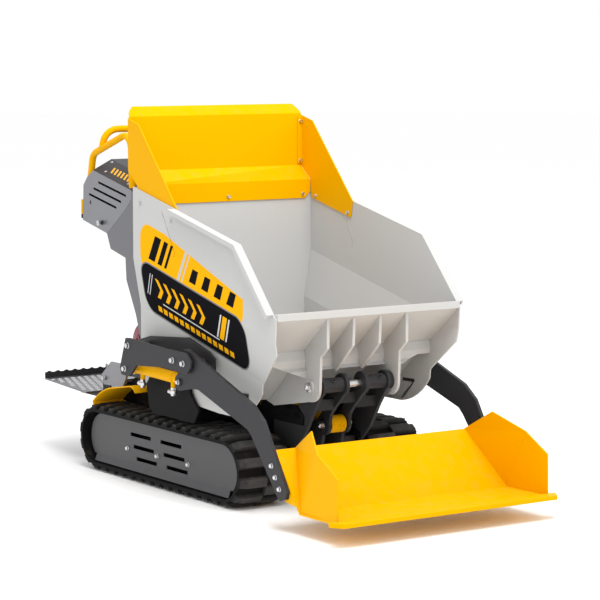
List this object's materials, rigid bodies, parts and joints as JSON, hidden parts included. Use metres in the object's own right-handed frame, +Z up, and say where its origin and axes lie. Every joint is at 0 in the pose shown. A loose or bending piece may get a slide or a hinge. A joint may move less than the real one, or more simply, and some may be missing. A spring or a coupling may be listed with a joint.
{
  "type": "tracked mini dumper",
  "caption": "Walk-behind tracked mini dumper with a forward-tipping steel skip, a self-loading front shovel on lift arms, a rear control console and a fold-up rider's step.",
  "frame": {"origin": "on the floor under the middle of the overall box, between the tracks", "axes": "+X forward to the shovel, +Y to the machine's left, +Z up"},
  "size_m": [2.074, 0.862, 1.265],
  "materials": {
    "chassis_black": "satin black paint",
    "arm_grey": "satin dark grey paint",
    "cover_grey": "satin dark grey paint",
    "track_rubber": "matt black rubber",
    "wheel_steel": "matt black paint",
    "yellow_paint": "gloss yellow paint",
    "skip_grey": "gloss light grey paint",
    "console_grey": "satin metallic grey paint",
    "panel_dark": "satin dark grey paint",
    "engine_metal": "cast, dull",
    "engine_red": "gloss maroon",
    "tank_red": "gloss maroon",
    "muffler_steel": "dull",
    "tank_black": "matt black",
    "lever_black": "matt black",
    "pin_steel": "bright zinc",
    "rod_chrome": "hard chrome",
    "step_steel": "bright chequer plate"
  },
  "bodies": {
    "chassis": {"chassis_frame": "chassis_black", "pivot_tower": "arm_grey", "track_right": "track_rubber", "track_left": "track_rubber", "track_frame_right": "chassis_black", "track_frame_left": "chassis_black", "track_wheels_right": "wheel_steel", "track_wheels_left": "wheel_steel", "track_cover_right": "cover_grey", "track_cover_left": "cover_grey", "arm_bracket_right": "arm_grey", "arm_bracket_left": "arm_grey", "mudguard_right": "yellow_paint", "mudguard_left": "yellow_paint", "engine_block": "engine_metal", "fan_cover": "engine_red", "fuel_tank": "tank_red", "muffler": "muffler_steel", "hydraulic_tank": "tank_black", "console_column": "console_grey", "console_housing": "console_grey", "console_panel": "panel_dark", "handlebar": "yellow_paint", "control_levers": "lever_black", "step_bracket_right": "console_grey", "step_bracket_left": "console_grey"},
    "skip": {"skip_side_right": "skip_grey", "skip_side_left": "skip_grey", "skip_rear_wall": "skip_grey", "skip_floor": "skip_grey", "skip_front_beam": "skip_grey", "skip_ribs": "skip_grey", "tip_pivot_pin": "pin_steel", "board_rear": "yellow_paint", "board_right": "yellow_paint", "board_left": "yellow_paint"},
    "shovel": {"arm_right": "arm_grey", "arm_left": "arm_grey", "shovel_pan": "yellow_paint", "cutting_edge": "yellow_paint"},
    "lift_barrel_r": {"lift_barrel_right": "yellow_paint"},
    "lift_rod_r": {"lift_rod_right": "rod_chrome"},
    "lift_barrel_l": {"lift_barrel_left": "yellow_paint"},
    "lift_rod_l": {"lift_rod_left": "rod_chrome"},
    "tip_barrel_b": {"tip_barrel": "yellow_paint"},
    "tip_rod_b": {"tip_rod": "rod_chrome"},
    "step": {"step_arm_right": "arm_grey", "step_arm_left": "arm_grey", "step_lip": "arm_grey", "step_plate": "step_steel"}
  },
  "joints": [
    {"name": "skip_tip", "type": "hinge", "parent": "chassis", "child": "skip", "pos_m": [0.5, 0, 0.398], "axis": [0, 1, 0], "range_deg": [0, 85]},
    {"name": "shovel_lift", "type": "hinge", "parent": "chassis", "child": "shovel", "pos_m": [0.174, 0, 0.457], "axis": [0, 1, 0], "range_deg": [-110, 4]},
    {"name": "lift_barrel_right_swing", "type": "hinge", "parent": "chassis", "child": "lift_barrel_r", "pos_m": [-0.199, -0.38, 0.399], "axis": [0, 1, 0], "range_deg": [-6.4, 0.5]},
    {"name": "lift_rod_right_slide", "type": "slide", "parent": "lift_barrel_r", "child": "lift_rod_r", "axis": [0.9997, 0, -0.0245], "range_m": [-0.006, 0.127]},
    {"name": "lift_barrel_left_swing", "type": "hinge", "parent": "chassis", "child": "lift_barrel_l", "pos_m": [-0.199, 0.38, 0.399], "axis": [0, 1, 0], "range_deg": [-6.4, 0.5]},
    {"name": "lift_rod_left_slide", "type": "slide", "parent": "lift_barrel_l", "child": "lift_rod_l", "axis": [0.9997, 0, -0.0245], "range_m": [-0.006, 0.127]},
    {"name": "tip_barrel_swing", "type": "hinge", "parent": "chassis", "child": "tip_barrel_b", "pos_m": [0.405, 0, 0.255], "axis": [0, 1, 0], "range_deg": [0, 81]},
    {"name": "tip_rod_slide", "type": "slide", "parent": "tip_barrel_b", "child": "tip_rod_b", "axis": [-0.9967, 0, 0.0809], "range_m": [0, 0.229]},
    {"name": "step_fold", "type": "hinge", "parent": "chassis", "child": "step", "pos_m": [-0.6, 0, 0.31], "axis": [0, 1, 0], "range_deg": [0, 85]}
  ],
  "couplings": [
    {"joint": "lift_barrel_right_swing", "follows": "shovel_lift", "ratio": 0.0557},
    {"joint": "lift_rod_right_slide", "follows": "shovel_lift", "m_per_rad": -0.06516},
    {"joint": "lift_barrel_left_swing", "follows": "shovel_lift", "ratio": 0.0557},
    {"joint": "lift_rod_left_slide", "follows": "shovel_lift", "m_per_rad": -0.06516},
    {"joint": "tip_barrel_swing", "follows": "skip_tip", "ratio": 0.95},
    {"joint": "tip_rod_slide", "follows": "skip_tip", "m_per_rad": 0.15335}
  ]
}
